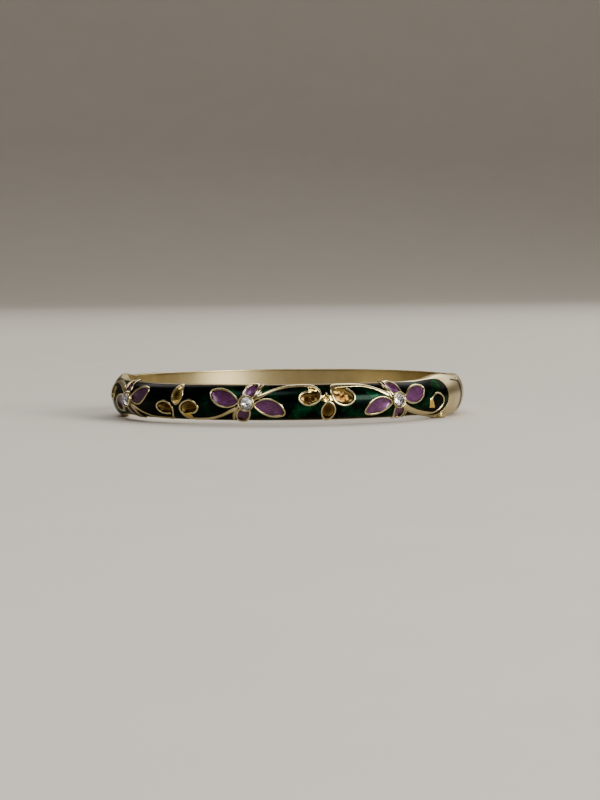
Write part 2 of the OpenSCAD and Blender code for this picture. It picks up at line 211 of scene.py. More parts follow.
def skin(points, quads, ends, mark=0.0, flow=0.0):
    """What a piece is made of: points, faces with four corners, faces with any number, and at each point
    a mark and a flow, its place along and across."""
    return {
        "points": points,
        "quads": quads,
        "ends": ends,
        "mark": np.broadcast_to(mark, len(points)),
        "flow": np.broadcast_to(flow, (len(points), 2)),
    }


def tube(rings, loop=False, mark=0.0, flow=0.0):
    """A closed skin over rings of points, rows along the path and columns round the section. An open one
    gets a face over each end. Its faces are turned outwards by the sign of its volume."""
    rows, cols = rings.shape[:2]
    quads = grid_quads(rows, cols, loop, True)
    ends = [] if loop else [list(range(cols))[::-1], list(range((rows - 1) * cols, rows * cols))]
    points = rings.reshape(-1, 3)
    a, b, c, d = (points[quads[:, k]] - points[0] for k in range(4))
    volume = (a * np.cross(b, c)).sum() + (a * np.cross(c, d)).sum()
    if volume < 0:
        quads = quads[:, ::-1]
        ends = [end[::-1] for end in ends]
    marks = np.broadcast_to(mark, (rows, cols)).reshape(-1)
    flows = np.broadcast_to(flow, (rows, cols, 2)).reshape(-1, 2)
    return skin(points, quads, ends, marks, flows)


def make_piece(name, shapes, material, body, nodes, sharp=35.0, merge=0.0):
    """One object from closed skins. Edges that turn by more than sharp degrees stay crisp, and points
    closer than merge millimetres become one."""
    starts = np.cumsum([0] + [len(shape["points"]) for shape in shapes])
    points = np.concatenate([shape["points"] for shape in shapes]) * MM
    faces = []
    for start, shape in zip(starts, shapes):
        faces += (shape["quads"] + start).tolist()
        faces += [[corner + int(start) for corner in end] for end in shape["ends"]]
    mesh = bpy.data.meshes.new(name)
    mesh.from_pydata(points.tolist(), [], faces)
    mark = mesh.attributes.new("mark", "FLOAT", "POINT")
    mark.data.foreach_set("value", np.concatenate([shape["mark"] for shape in shapes]).astype(np.float32))
    corner = np.empty(len(mesh.loops), np.int32)
    mesh.loops.foreach_get("vertex_index", corner)
    flow = np.concatenate([shape["flow"] for shape in shapes])[corner].astype(np.float32)
    mesh.uv_layers.new(name="flow").data.foreach_set("uv", flow.ravel())
    if merge:
        work = bmesh.new()
        work.from_mesh(mesh)
        bmesh.ops.remove_doubles(work, verts=work.verts, dist=merge * MM)
        bmesh.ops.recalc_face_normals(work, faces=work.faces)
        work.to_mesh(mesh)
        work.free()
    mesh.polygons.foreach_set("use_smooth", np.ones(len(mesh.polygons), bool))
    mesh.set_sharp_from_angle(angle=math.radians(sharp))
    mesh.materials.append(material)
    piece = bpy.data.objects.new(name, mesh)
    bpy.context.scene.collection.objects.link(piece)
    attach(piece, body)
    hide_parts(*nodes)


# Materials


def feed(socket, value):
    """Joins another node's output to an input, or sets the input's own value."""
    if isinstance(value, bpy.types.NodeSocket):
        socket.id_data.links.new(value, socket)
    else:
        socket.default_value = value


def finish_nodes(name):
    """A new material, with a short way to add a node and a short way to dress its shader."""
    material = bpy.data.materials.new(name)
    material.use_nodes = True
    tree = material.node_tree
    shader = tree.nodes["Principled BSDF"]

    def node(kind, inputs=(), **settings):
        """A node with its settings, and with its inputs joined or set."""
        made = tree.nodes.new(kind)
        for key, value in settings.items():
            setattr(made, key, value)
        for key, value in dict(inputs).items():
            feed(made.inputs[key], value)
        return made

    def dress(inputs):
        """Joins or sets the shader's own inputs."""
        for key, value in inputs.items():
            feed(shader.inputs[key], value)

    return material, node, dress


def blend_colours(node, share, low, high):
    """A colour between low and high, or between two colour sockets."""
    return node("ShaderNodeMix", {0: share, 6: low, 7: high}, data_type="RGBA").outputs[2]


def ranged(node, value, low, high, to_low, to_high):
    """A value carried from one range to another."""
    return node("ShaderNodeMapRange", {
        "Value": value, "From Min": low, "From Max": high, "To Min": to_low, "To Max": to_high}).outputs[0]


def bumped(node, height, strength, distance, **more):
    """A surface's direction where a pattern raises it by a distance in metres."""
    inputs = {"Height": height, "Strength": strength, "Distance": distance, **more}
    return node("ShaderNodeBump", inputs).outputs[0]


def stretched(node, vector, scale):
    """A pattern's coordinates, closer together along each axis by its scale."""
    return node("ShaderNodeMapping", {"Vector": vector, "Scale": scale}).outputs[0]


def object_place(node):
    """The place of a point on its piece, in metres."""
    return node("ShaderNodeTexCoord").outputs["Object"]


def flow_place(node):
    """The place of a point along and across its piece, in millimetres."""
    return node("ShaderNodeUVMap", uv_map="flow").outputs[0]


def marked(node):
    """The mark at a point."""
    return node("ShaderNodeAttribute", attribute_name="mark").outputs["Fac"]


def polished_gold(name, light, wear_and_shade, foot, roughness, facets=0.0):
    """Pale gold plate: blotches of thinner plate, fine polishing lines, and a darker tone where mark is 1,
    which is painted shade, and on the bud a painted dark reflection.
    facets is the depth in millimetres of the tool marks on chased gold, a Voronoi of small cells."""
    material, node, dress = finish_nodes(name)
    place = object_place(node)
    blotch = node("ShaderNodeTexNoise", {"Vector": place, "Scale": 260.0, "Detail": 3.0}).outputs["Fac"]
    lines = node("ShaderNodeTexNoise", {
        "Vector": stretched(node, place, (1.0, 1.0, 9.0)), "Scale": 2200.0, "Detail": 2.0}).outputs["Fac"]
    tone = blend_colours(node, ranged(node, blotch, 0.35, 0.65, 0.0, 1.0), light, wear_and_shade)
    polish = bumped(node, lines, 0.25, 0.000008)
    if facets:
        cuts = node("ShaderNodeTexVoronoi", {"Vector": place, "Scale": 1500.0}, feature="SMOOTH_F1")
        polish = bumped(node, cuts.outputs["Distance"], 1.0, facets * MM, Normal=polish)
    dress({
        "Base Color": blend_colours(node, marked(node), tone, foot),
        "Roughness": ranged(node, blotch, 0.3, 0.7, roughness, roughness + 0.08),
        "Normal": polish,
        "Metallic": 1.0})
    return material


def green_glass():
    """Clear green glass over metal cut in small scales, which glint in clouds, with painted light that
    brightens them towards the right.
    """
    material, node, dress = finish_nodes("green_glass")
    flow = flow_place(node)

    def times(a, b):
        """The product of two values."""
        return node("ShaderNodeMath", {0: a, 1: b}, operation="MULTIPLY").outputs[0]

    cuts = node("ShaderNodeTexVoronoi", {"Vector": flow, "Scale": 2.6}, feature="SMOOTH_F1")
    scales = node("ShaderNodeMath", {0: 0.5, 1: cuts.outputs["Distance"]}, operation="SUBTRACT").outputs[0]
    cloud = node("ShaderNodeTexNoise", {"Vector": flow, "Scale": 0.3, "Detail": 2.0}).outputs["Fac"]
    along = node("ShaderNodeSeparateXYZ", {"Vector": flow}).outputs["X"]
    glint = times(ranged(node, scales, -0.3, 0.5, 0.1, 1.0), ranged(node, cloud, 0.48, 0.7, 0.0, 1.0))
    # Painted light: the glints rise from 0.15 at 16 mm left of the middle to full at 4 mm right of it
    glint_and_painted_light = times(glint, ranged(node, along, -16.0, 4.0, 0.15, 1.0))
    dress({
        "Base Color": blend_colours(node, glint_and_painted_light, (0.0005, 0.006, 0.003, 1), (0.002, 0.145, 0.05, 1)),
        "Normal": bumped(node, scales, 1.0, 0.00005),
        "Specular IOR Level": 0.2,
        "Specular Tint": (0.15, 0.35, 0.22, 1),
        "Metallic": 0.92,
        "Roughness": 0.28,
        "Coat Weight": 0.35,
        "Coat Roughness": 0.2,
        "Coat IOR": 1.3})
    return material


def purple_glass():
    """Plum glass, clouded and streaked along the petal, and browner and darker where mark is 1."""
    material, node, dress = finish_nodes("purple_glass")
    streaks = node("ShaderNodeTexNoise", {
        "Vector": stretched(node, flow_place(node), (0.8, 3.5, 1.0)),
        "Scale": 1.5, "Detail": 5.0, "Roughness": 0.65}).outputs["Fac"]
    body = blend_colours(node, ranged(node, streaks, 0.36, 0.66, 0.0, 1.0),
                         (0.045, 0.01, 0.036, 1), (0.185, 0.052, 0.178, 1))
    at_rim = ranged(node, marked(node), 0.55, 1.0, 0.0, 0.9)
    dress({
        "Base Color": blend_colours(node, at_rim, body, (0.028, 0.006, 0.008, 1)),
        "Normal": bumped(node, streaks, 0.7, 0.00009),
        "Metallic": 0.42,
        "Roughness": 0.38,
        "Coat Weight": 0.8,
        "Coat Roughness": 0.14,
        "Coat IOR": 1.5})
    return material


def clear_crystal():
    """Colourless cut glass with a faint cloud in it."""
    material, node, dress = finish_nodes("crystal")
    haze = node("ShaderNodeTexNoise", {"Vector": object_place(node), "Scale": 900.0}).outputs["Fac"]
    dress({
        "Base Color": blend_colours(node, haze, (0.93, 0.95, 1.0, 1), (0.99, 0.98, 0.97, 1)),
        "Roughness": ranged(node, haze, 0.3, 0.7, 0.0, 0.04),
        "Transmission Weight": 1.0,
        "IOR": 1.7})
    return material


def silver_foil():
    """The bright backing behind a crystal, crinkled all over."""
    material, node, dress = finish_nodes("silver_foil")
    crinkle = node("ShaderNodeTexVoronoi", {
        "Vector": object_place(node), "Scale": 2600.0}).outputs["Distance"]
    dress({
        "Base Color": blend_colours(node, crinkle, (0.72, 0.72, 0.76, 1), (0.3, 0.3, 0.34, 1)),
        "Normal": bumped(node, crinkle, 0.5, 0.00008),
        "Metallic": 1.0,
        "Roughness": 0.12})
    return material


def pale_floor():
    """A plain pale matt surface with a faint mottle."""
    material, node, dress = finish_nodes("pale_floor")
    mottle = node("ShaderNodeTexNoise", {
        "Vector": object_place(node), "Scale": 40.0, "Detail": 5.0}).outputs["Fac"]
    dress({
        "Base Color": blend_colours(node, mottle, (0.62, 0.585, 0.525, 1), (0.66, 0.62, 0.56, 1)),
        "Normal": bumped(node, mottle, 0.1, 0.0005),
        "Roughness": 0.75})
    return material


# Each gold's light tone, the tone of its thin plate, its darkest tone, used for painted shade where mark
# is 1, and its roughness
gold_body = polished_gold(
    "gold_body", (0.59, 0.505, 0.305, 1), (0.51, 0.425, 0.24, 1), (0.03, 0.015, 0.008, 1), 0.29)
gold_wire = polished_gold(
    "gold_wire", (0.70, 0.61, 0.38, 1), (0.58, 0.49, 0.27, 1), (0.12, 0.07, 0.02, 1), 0.16)
gold_shadow = polished_gold(
    "gold_shadow", (0.02, 0.01, 0.005, 1), (0.012, 0.007, 0.003, 1), (0.012, 0.007, 0.003, 1), 0.5)
gold_chased = polished_gold(
    "gold_chased", (0.95, 0.76, 0.30, 1), (0.84, 0.62, 0.19, 1), (0.14, 0.08, 0.015, 1), 0.14, facets=0.2)
gold_deep = polished_gold(
    "gold_deep", (0.72, 0.60, 0.26, 1), (0.46, 0.34, 0.12, 1), (0.10, 0.05, 0.016, 1), 0.24, facets=0.1)
green = green_glass()
purple = purple_glass()
crystal = clear_crystal()
foil = silver_foil()

# The two metal halves

# How a half's grid is laid: where its ends start to be fitted to their own shape and the rows between
# there and the seam, in degrees, the layers round its inner corner and outside it, the shares of a thin
# wall or a narrow side where the sheer steps go, and half the width of the middle lanes at the hinge and
# at least
fitted_from = 86.0
late_rows = (86.8, 87.6, 88.4)
corner_layers = 5
outer_layers = 24
low_share = 0.3
high_share = 0.8
side_share = 0.86
hinge_bed = 1.2
least_bed = 0.05

# The painted shade at the seams, a dark strip for the shadow in their gaps: its width from the seam at
# the hinge, the clasp and inside the ring, and how it fades, half its height and where the ring's inner
# face ends
hinge_dark = 0.7
clasp_dark_front = 1.6
clasp_dark_back = 1.0
inner_dark = 0.3
dark_fade = 0.4
dark_half = 2.5
inner_face_to = inner_r + 1.2

# The painted shade on the metal rims along the glass's edges: its strength, from which height over how
# much, the degrees where it fades out, and the distance from the ring's axis that it starts from
edge_tone = 0.7
edge_tone_z = 3.0
edge_tone_over = 0.12
edge_tone_to = 54.0
edge_tone_fade = 10.0
edge_tone_r = 31.0


def layers(outer):
    """Distances from the ring's axis of the layers between the inner face and the outer face: five round
    the inner corner, then even steps with a sheer one at each side of the clasp's socket."""
    turned = rim_round * (1 - np.cos(quarter(corner_layers)))
    start = inner_r + rim_round + 0 * outer
    width = outer - start
    low = np.minimum(socket_low, start + low_share * width)
    high = np.minimum(socket_high, start + high_share * width)
    return np.concatenate([
        inner_r + turned + 0 * outer[..., None],
        between(start, low - hair, np.linspace(0, 1, 5))[..., 1:],
        between(low + hair, high - hair, np.linspace(0, 1, 10)),
        between(high + hair, outer, np.linspace(0, 1, 10))], -1)


def layer_heights(half):
    """Half height of each layer: less at the inner corner, where it follows a quarter circle."""
    turned = rim_round * (1 - np.sin(quarter(corner_layers)))
    return half[..., None] - np.concatenate([turned, np.zeros(outer_layers)])


def lanes(half, bed):
    """Heights across the outer face: even over the bed, sheer steps at its edges and at the knuckles'
    ends, then a quarter sine towards the rim, where the corner turns."""
    stop = np.minimum(mid_z - knuckle_z[0] + knuckle_gap, bed + side_share * (half - bed))
    side = np.concatenate([
        between(bed + hair, stop - hair, np.linspace(0, 1, 7)),
        between(stop + hair, half, np.sin(quarter(9)))], -1)
    return np.concatenate([-side[..., ::-1], between(-bed, bed, np.linspace(0, 1, 25)), side], -1)


def bed_width(turns):
    """Half width of a half's middle lanes: the glass's outline, and from its tip on a straight line to
    the width that the hinge or the clasp's socket needs."""
    share = np.clip((np.abs(turns) - glass_tip_turn) / (fitted_from - glass_tip_turn), 0, 1)
    end_bed = np.where(turns < 0, hinge_bed, tongue_half + tongue_gap)
    over_glass = np.maximum(glass_outline(arc_mm(turns)), least_bed)
    return np.where(np.abs(turns) < glass_tip_turn, over_glass, least_bed + (end_bed - least_bed) * share)


def half_turns(seam_round):
    """Turns of a half's rows, the same on both sides of its middle: even ones, others by a sine over the
    glass's round end, a sheer step at its tip, and others by a sine where the seam's edge is rounded."""
    swept = np.degrees(glass_end_r * np.sin(quarter(14)[1:-1]) / glass_crown_r) + glass_end
    seam_turns = 90 - np.degrees(seam_round / cap_crown_r) * (1 - np.sin(quarter(7)))
    step = [glass_tip_turn - 0.01, glass_tip_turn + 0.01]
    ends = np.concatenate([late_rows, seam_turns, step, swept])
    return np.unique(np.concatenate([-ends, np.linspace(-fitted_from, fitted_from, 131), ends]))


def rounded(distance, radius):
    """How far a quarter circle lies below the face at a distance from the edge that it rounds."""
    near = np.clip(1 - distance / radius, 0, 1)
    return radius * (1 - np.sqrt(1 - near ** 2))


def outer_face(turn, z, half, seam_round):
    """Distance from the ring's axis of the domed outer face, rounded over at its rims and seams."""
    centre, radius = swelling(turn)
    face = centre + np.sqrt(np.maximum(radius ** 2 - z ** 2, 0))
    to_seam = np.radians(90 - np.abs(turn)) * cap_crown_r
    return face - rounded(half - np.abs(z), rim_round) - rounded(to_seam, seam_round)


def hinge_cut(rho, z, rooms):
    """How far the hinge end stands back from the seam: half the gap, more outside the hinge line, where a
    wedge lets the halves fold, and a round room of the knuckle's radius over the heights of the other
    half's knuckles."""
    out = rho + hinge_x
    wedge = np.maximum(out, 0) * math.tan(math.radians(notch_angle))
    room = np.sqrt(np.maximum(knuckle_room ** 2 - out ** 2, 0))
    at_room = np.zeros(z.shape, bool)
    for low, high in rooms:
        at_room |= (z > low) & (z < high)
    return np.maximum(seam_gap / 2, np.where(at_room, np.maximum(room, wedge), wedge))


def painted_seam_shade(points, clasp_dark):
    """Painted shade at a half's ends, for the shadow in the seams' gaps: a dark strip along the middle of
    each seam, as wide as the clasp, the hinge or the ring's inner face has it, which eases to 0."""
    on_crown = np.hypot(points[:, 0], points[:, 1]) > inner_face_to
    wide = np.where(on_crown, np.where(points[:, 0] > 0, clasp_dark, hinge_dark), inner_dark)
    near_middle = 1 - smooth((np.abs(points[:, 2] - mid_z) - dark_half) / dark_fade)
    return smooth((wide - np.abs(points[:, 1])) / dark_fade) * near_middle


def painted_glass_edge_shade(points):
    """Painted shade on the metal above and below the glass: it eases in over a height, and out along
    the band."""
    turned = np.degrees(np.arctan2(np.abs(points[:, 0]), -points[:, 1]))
    beside = smooth((np.abs(points[:, 2] - mid_z) - edge_tone_z) / edge_tone_over)
    outside = np.hypot(points[:, 0], points[:, 1]) > edge_tone_r
    return edge_tone * (beside * outside) * (1 - smooth((turned - edge_tone_to) / edge_tone_fade))


def metal_half(recess, hinge_rooms, socket, peak, seam_round):
    """One half of the ring as a block of six faces over three parameters: the turn, the layer outwards
    and the lane across. Its middle is at turn 0, its hinge end at turn -90 and its clasp end at 90.
    recess sinks the bed of the glass into it and socket the clasp's, peak is half the height of its caps,
    and seam_round the radius of their ends. It has painted shade at the seams, and with a recess painted
    shade on the metal beside the glass."""
    turns = half_turns(seam_round)
    half = half_height(turns, peak)
    bed = bed_width(turns)
    across = lanes(half, bed)
    outer = outer_face(turns[:, None], across, half[:, None], seam_round)
    if recess:
        floor = (np.abs(across) <= bed[:, None] + hair / 2) & (np.abs(turns) < glass_tip_turn)[:, None]
        outer = np.where(floor, bed_floor, outer)
    sheets = layers(outer_face(turns, half, half, seam_round))
    heights = layer_heights(half)

    def placed(turn, rho, z):
        """Squeezes the last four degrees of each end so that they meet that end's own shape."""
        turn, rho, z = np.broadcast_arrays(turn, rho, z)
        moved = turn.copy()
        for end, back in ((-1, hinge_cut(rho, z, hinge_rooms)), (1, seam_gap / 2)):
            last = 90 - np.degrees(np.arcsin(back / rho))
            share = np.clip((turn * end - fitted_from) / (90 - fitted_from), 0, 1)
            moved = np.where(share > 0, end * (fitted_from + share * (last - fitted_from)), moved)
        return round_the_ring(moved, rho, z)

    # The inner face, one rim, the outer face and the other rim, then the two ends
    faces = [
        placed(turns[:, None], inner_r, across * (heights[:, :1] / half[:, None])),
        placed(turns[:, None], sheets, heights),
        placed(turns[:, None], outer, across),
        placed(turns[:, None], sheets, -heights)]
    for row in (0, -1):
        rho = layers(outer[row])
        z = across[row][:, None] * heights[row] / half[row]
        end = placed(turns[row], rho, z)
        if socket and row == -1:
            # Points in the socket's mouth move in to its bottom, on circles about the hinge line
            hole = (rho > socket_low) & (rho < socket_high) & (np.abs(z) < tongue_half + tongue_gap)
            deep = tongue_reach + socket_spare
            x = hinge_x + np.sqrt((rho - hinge_x) ** 2 - deep ** 2)
            end = np.where(hole[..., None], np.stack([x, np.full(rho.shape, -deep), mid_z + z], -1), end)
        faces.append(end)
    starts = np.cumsum([0] + [face.shape[0] * face.shape[1] for face in faces])
    points = np.concatenate([face.reshape(-1, 3) for face in faces])
    quads = np.concatenate([grid_quads(*face.shape[:2]) + start for face, start in zip(faces, starts)])
    # Painted shade at the seams, and with a recess beside the glass
    mark = painted_seam_shade(points, clasp_dark_front if socket else clasp_dark_back)
    if recess:
        mark = np.maximum(mark, painted_glass_edge_shade(points))
    return skin(points, quads, [], mark)


def mirrored(shape):
    """The same shape beyond the seams. make_piece turns its faces outwards where it merges its points."""
    return dict(shape, points=shape["points"] * np.array([1, -1, 1]))


def hinge_barrel(low, high, radius, rounding):
    """A short cylinder about the hinge line, rounded by a quarter circle at each end of its side."""
    up, over = rounding * np.sin(quarter(6)), rounding * np.cos(quarter(6))
    r = np.concatenate([[0.02], radius - rounding + up, radius - rounding + over, [0.02]])[:, None]
    z = np.concatenate([[low], low + rounding - over, high - rounding + up, [high]])[:, None]
    way = whole(48)
    return tube(np.stack([hinge_x + r * np.cos(way), r * np.sin(way), z + 0 * way], -1))


def spring_tongue():
    """A flat tongue curved about the hinge line. Its section is a ring of a cosine to the power 0.4 and a
    sine to the power 0.25, which squares its corners."""
    way = whole(40)
    r = tongue_in + tongue_t / 2 * (1 + powered(np.cos(way), 0.4))
    z = mid_z + tongue_half * powered(np.sin(way), 0.25)
    lean = np.arcsin(np.linspace(-tongue_reach, tongue_root, 24) / (tongue_in + tongue_t))[:, None]
    return tube(np.stack([hinge_x + r * np.cos(lean), r * np.sin(lean), z + 0 * lean], -1))


def thumb_nub():
    """A small rounded block under the cap's lower edge. Its section is a ring of sines and cosines to the
    power 0.45, and it closes by the square root of one less the fourth power of the way from its middle."""
    way = whole(32)
    middle, half = (tab_from + tab_to) / 2, (tab_to - tab_from) / 2
    turns = np.linspace(tab_from, tab_to, 15)[:, None]
    end = np.sqrt(np.clip(1 - np.abs((turns - middle) / half) ** 4, 0.02, 1))
    rho = (tab_in + tab_out) / 2 + (tab_out - tab_in) / 2 * end * powered(np.cos(way), 0.45)
    z = -mid_z + tab_h / 2 * (1 + end * powered(np.sin(way), 0.45))
    return tube(round_the_ring(turns, rho, z))


# Heights of the knuckles' ends from the band's middle, and the room that each half leaves for the other's
knuckle_ends = [z - mid_z for z in knuckle_z]
front_rooms = [(knuckle_ends[1], knuckle_ends[2])]
back_rooms = [(knuckle_ends[k] - knuckle_gap, knuckle_ends[k + 1] + knuckle_gap) for k in (0, 2)]
front_half = metal_half(True, front_rooms, True, half_cap, front_seam_round)
back_half = mirrored(metal_half(False, back_rooms, False, half_seam, back_seam_round))
front_barrels = [hinge_barrel(knuckle_z[k], knuckle_z[k + 1], knuckle_r, knuckle_round) for k in (0, 2)]
back_barrel = hinge_barrel(knuckle_z[1] + knuckle_gap, knuckle_z[2] - knuckle_gap, knuckle_r, knuckle_round)
pin_barrel = hinge_barrel(knuckle_z[0], knuckle_z[3], pin_r, pin_round)
make_piece("front_gold", [front_half], gold_body, "front", ["front_half"], merge=0.002)
make_piece("back_gold", [back_half], gold_body, "back", ["back_half"], merge=0.002)
make_piece("front_knuckles", front_barrels, gold_body, "front", ["front_half"])
make_piece("back_knuckle", [back_barrel], gold_body, "back", ["back_half"])
make_piece("pin", [pin_barrel], gold_wire, "front", ["hinge_pin"])
make_piece("tongue", [spring_tongue()], gold_body, "back", ["clasp_tongue"])
make_piece("nub", [thumb_nub()], gold_body, "front", ["thumb_tab"])

# Outlines of the ornament, drawn flat round each flower or trefoil: x along the band, z across it

# Leaves: where base and tip are, the bulge left and right of the line between them, and the tips' radius
Leaf = namedtuple("Leaf", "base_x base_z tip_x tip_z left right blunt")
long_petal = Leaf(1.1, -0.3, 7.4, -2.2, 2.1, 1.2, 0.75)
short_petal = Leaf(-0.45, 0.3, 2.25, 3.3, 1.6, 0.95, 0.2)
gold_leaf = Leaf(1.3, 0.1, 3.1, 3.4, 0.45, 0.45, 0.05)
drop = Leaf(0.4, 0.35, 0.4, -3.45, 1.45, 1.45, 0.9)
bud = Leaf(-0.15, 0.6, -0.65, -3.2, 1.4, 1.35, 0.1)

# The share of a leaf's side that turns round its tip at each end
tip_share = 0.1

# Start of the vine from a flower to the trefoil beside it: s from the flower, z, width
vine_rows = (
    (1.8, 0.9, 0.9),
    (3.2, 1.5, 0.7),
    (5.0, 2.25, 0.5))

# End of a vine and the loop it winds into, from a trefoil's middle: x, z, width. The loop's opening
# starts at the row that opens it
round_loop = {"opens": 4, "rows": (
    (-7.3, 2.82, 0.42),
    (-5.0, 3.0, 0.42),
    (-3.5, 2.98, 0.46),
    (-2.2, 2.78, 0.52),
    (-1.35, 2.15, 0.52),
    (-1.05, 1.2, 0.46),
    (-1.5, 0.3, 0.42),
    (-2.4, -0.25, 0.4),
    (-3.45, -0.42, 0.4),
    (-4.5, 0.0, 0.4),
    (-5.08, 0.75, 0.4),
    (-4.75, 1.45, 0.4),
    (-3.9, 1.88, 0.4),
    (-3.1, 1.88, 0.4))}
square_loop = {"opens": 4, "rows": (
    (-7.3, 2.82, 0.5),
    (-5.0, 2.94, 0.62),
    (-3.5, 2.92, 0.66),
    (-2.3, 2.88, 0.76),
    (-1.4, 2.6, 0.86),
    (-1.1, 1.8, 0.7),
    (-1.2, 0.9, 0.56),
    (-1.75, 0.05, 0.46),
    (-2.75, -0.45, 0.4),
    (-3.8, -0.55, 0.4),
    (-4.85, -0.15, 0.4),
    (-5.4, 0.65, 0.4),
    (-5.2, 1.45, 0.4),
    (-4.6, 2.0, 0.4),
    (-3.9, 2.4, 0.4))}
closed_loop = {"opens": 6, "rows": (
    (-7.3, 2.86, 0.36),
    (-5.0, 3.0, 0.36),
    (-3.5, 3.05, 0.36),
    (-2.3, 3.06, 0.4),
    (-1.7, 2.9, 0.44),
    (-1.3, 2.45, 0.44),
    (-0.8, 1.75, 0.42),
    (-0.8, 0.95, 0.4),
    (-1.6, 0.15, 0.4),
    (-2.95, -0.12, 0.4),
    (-4.3, 0.28, 0.4),
    (-4.8, 1.0, 0.4),
    (-4.35, 1.78, 0.4),
    (-3.4, 2.12, 0.4),
    (-2.3, 2.15, 0.4),
    (-1.5, 2.05, 0.36))}

# The rows that the small plate between a first loop's inner end and its vine runs along
web_rows = (2, 4)

# Points to each row of a line
vine_points = 7
scroll_points = 8

# Little grains between the loops, x and z, and the plate that they sit on
grains = ((-0.25, 0.86), (0.5, 0.84), (0.13, 0.42), (0.0, 1.55))
grain_r = 0.24
grain_plate = ((-0.95, 1.1), (0.0, 1.4), (1.0, 1.2), (1.25, 0.3), (0.4, 0.1), (-1.1, 0.3))

# Tapered leaf and curled scroll beyond an end flower: s from the flower, z, width. Its end widens into a
# small plate
scroll_rows = (
    (1.4, -0.8, 0.8),
    (2.9, -1.72, 1.0),
    (4.8, -2.26, 0.88),
    (6.8, -2.64, 0.8),
    (8.9, -2.88, 0.66),
    (10.4, -2.86, 0.42),
    (11.75, -2.5, 0.36),
    (12.7, -1.75, 0.36),
    (13.1, -0.9, 0.36),
    (12.8, -0.05, 0.36),
    (11.9, 0.55, 0.36),
    (10.8, 0.79, 0.36),
    (9.8, 0.55, 0.36),
    (9.1, 0.0, 0.4),
    (8.85, -0.4, 0.4))
scroll_plate = (
    (9.05, 0.1), (8.4, -0.25), (8.55, -1.0), (8.85, -1.85), (9.7, -2.0), (10.6, -1.95), (9.6, -0.65))

# The angle of each flower and 1 or -1 where it is mirrored. The angle of each trefoil, -1 where it is
# turned half way, its second loop, its third leaf, and whether that is open and has grains beside it
flowers = ((-flower_pitch, -1), (0.0, 1), (flower_pitch, -1))
trefoils = (
    (-flower_pitch / 2, -1, closed_loop, bud, False),
    (flower_pitch / 2, 1, square_loop, drop, True))

# Lifts over the glass's crown: the foot of a leaf or a grain, how far over it a leaf's trimmed part lies,
# how far a trimmed rim sinks, a cup's lip and foot, and a setting's foot and its seat
shallow_foot = -0.3
trimmed_over = 0.06
rim_sink = 0.55
cup_lip = 0.04
cup_foot = -1.15
setting_foot = -0.9
seat_top = 0.28
seat_bottom = -0.56

# Lift of the green glass's face: in the open, under the flowers, and under the settings and cups
glass_lift = -0.02
under_flower = -0.6
under_cup = -1.1

# The metal edge round the glass: how far outside the glass it runs, its width and rise, how dark its
# painted shade is, and the degrees where that fades out
border_out = 0.04
border_w = 0.13
border_rise = 0.04
border_shade = 0.85
border_shade_to = 52.0
border_shade_fade = 8.0

# The painted shadow line on the clasp's cap, a low dark wire: the degrees and the heights that it runs
# between, its width and its rise
cap_line_turns = (80.6, 89.4)
cap_line_z = (2.98, 2.5)
cap_line_w = 0.26
cap_line_rise = 0.02


def motif_place(angle, mirror=1, turn=1):
    """What lays a motif's flat drawing at an angle on the band, mirrored along it or turned half way."""
    def place(x, z, lift):
        """Points on the band from the motif's own x and z and a lift."""
        return on_band(mirror * turn * x, turn * z, lift, angle)

    return place


def spline(rows, steps):
    """A smooth curve through rows, by the Catmull-Rom cubic of each four rows in turn."""
    rows = np.asarray(rows, float)
    count = len(rows) - 1
    held = np.concatenate([rows[:1], rows, rows[-1:]])
    u = np.linspace(0, 1, steps, endpoint=False)[None, :, None]
    p0, p1, p2, p3 = (held[k:k + count][:, None] for k in range(4))
    curve = 0.5 * (2 * p1 + (p2 - p0) * u + (2 * p0 - 5 * p1 + 4 * p2 - p3) * u ** 2
                   + (3 * p1 - p0 - 3 * p2 + p3) * u ** 3)
    return np.concatenate([curve.reshape(-1, rows.shape[1]), rows[-1:]])


def leaf_chord(leaf):
    """Length and direction of the line from a leaf's base to its tip."""
    x, z = leaf.tip_x - leaf.base_x, leaf.tip_z - leaf.base_z
    return math.hypot(x, z), math.atan2(z, x)


def leaf_frame(leaf, along, over):
    """Carries points from a leaf's own frame, where x runs from base to tip, to the motif's, by a turn
    and a shift."""
    way = leaf_chord(leaf)[1]
    return (leaf.base_x + along * math.cos(way) - over * math.sin(way),
            leaf.base_z + along * math.sin(way) + over * math.cos(way))


def leaf_circles(leaf):
    """Half a leaf's length, and the height of the middle and the radius of the circle of its left side,
    then of its right side, from the chord and the bulge of each."""
    half = leaf_chord(leaf)[0] / 2
    left_r = (half ** 2 + leaf.left ** 2) / (2 * leaf.left)
    right_r = (half ** 2 + leaf.right ** 2) / (2 * leaf.right)
    return half, leaf.left - left_r, left_r, right_r - leaf.right, right_r


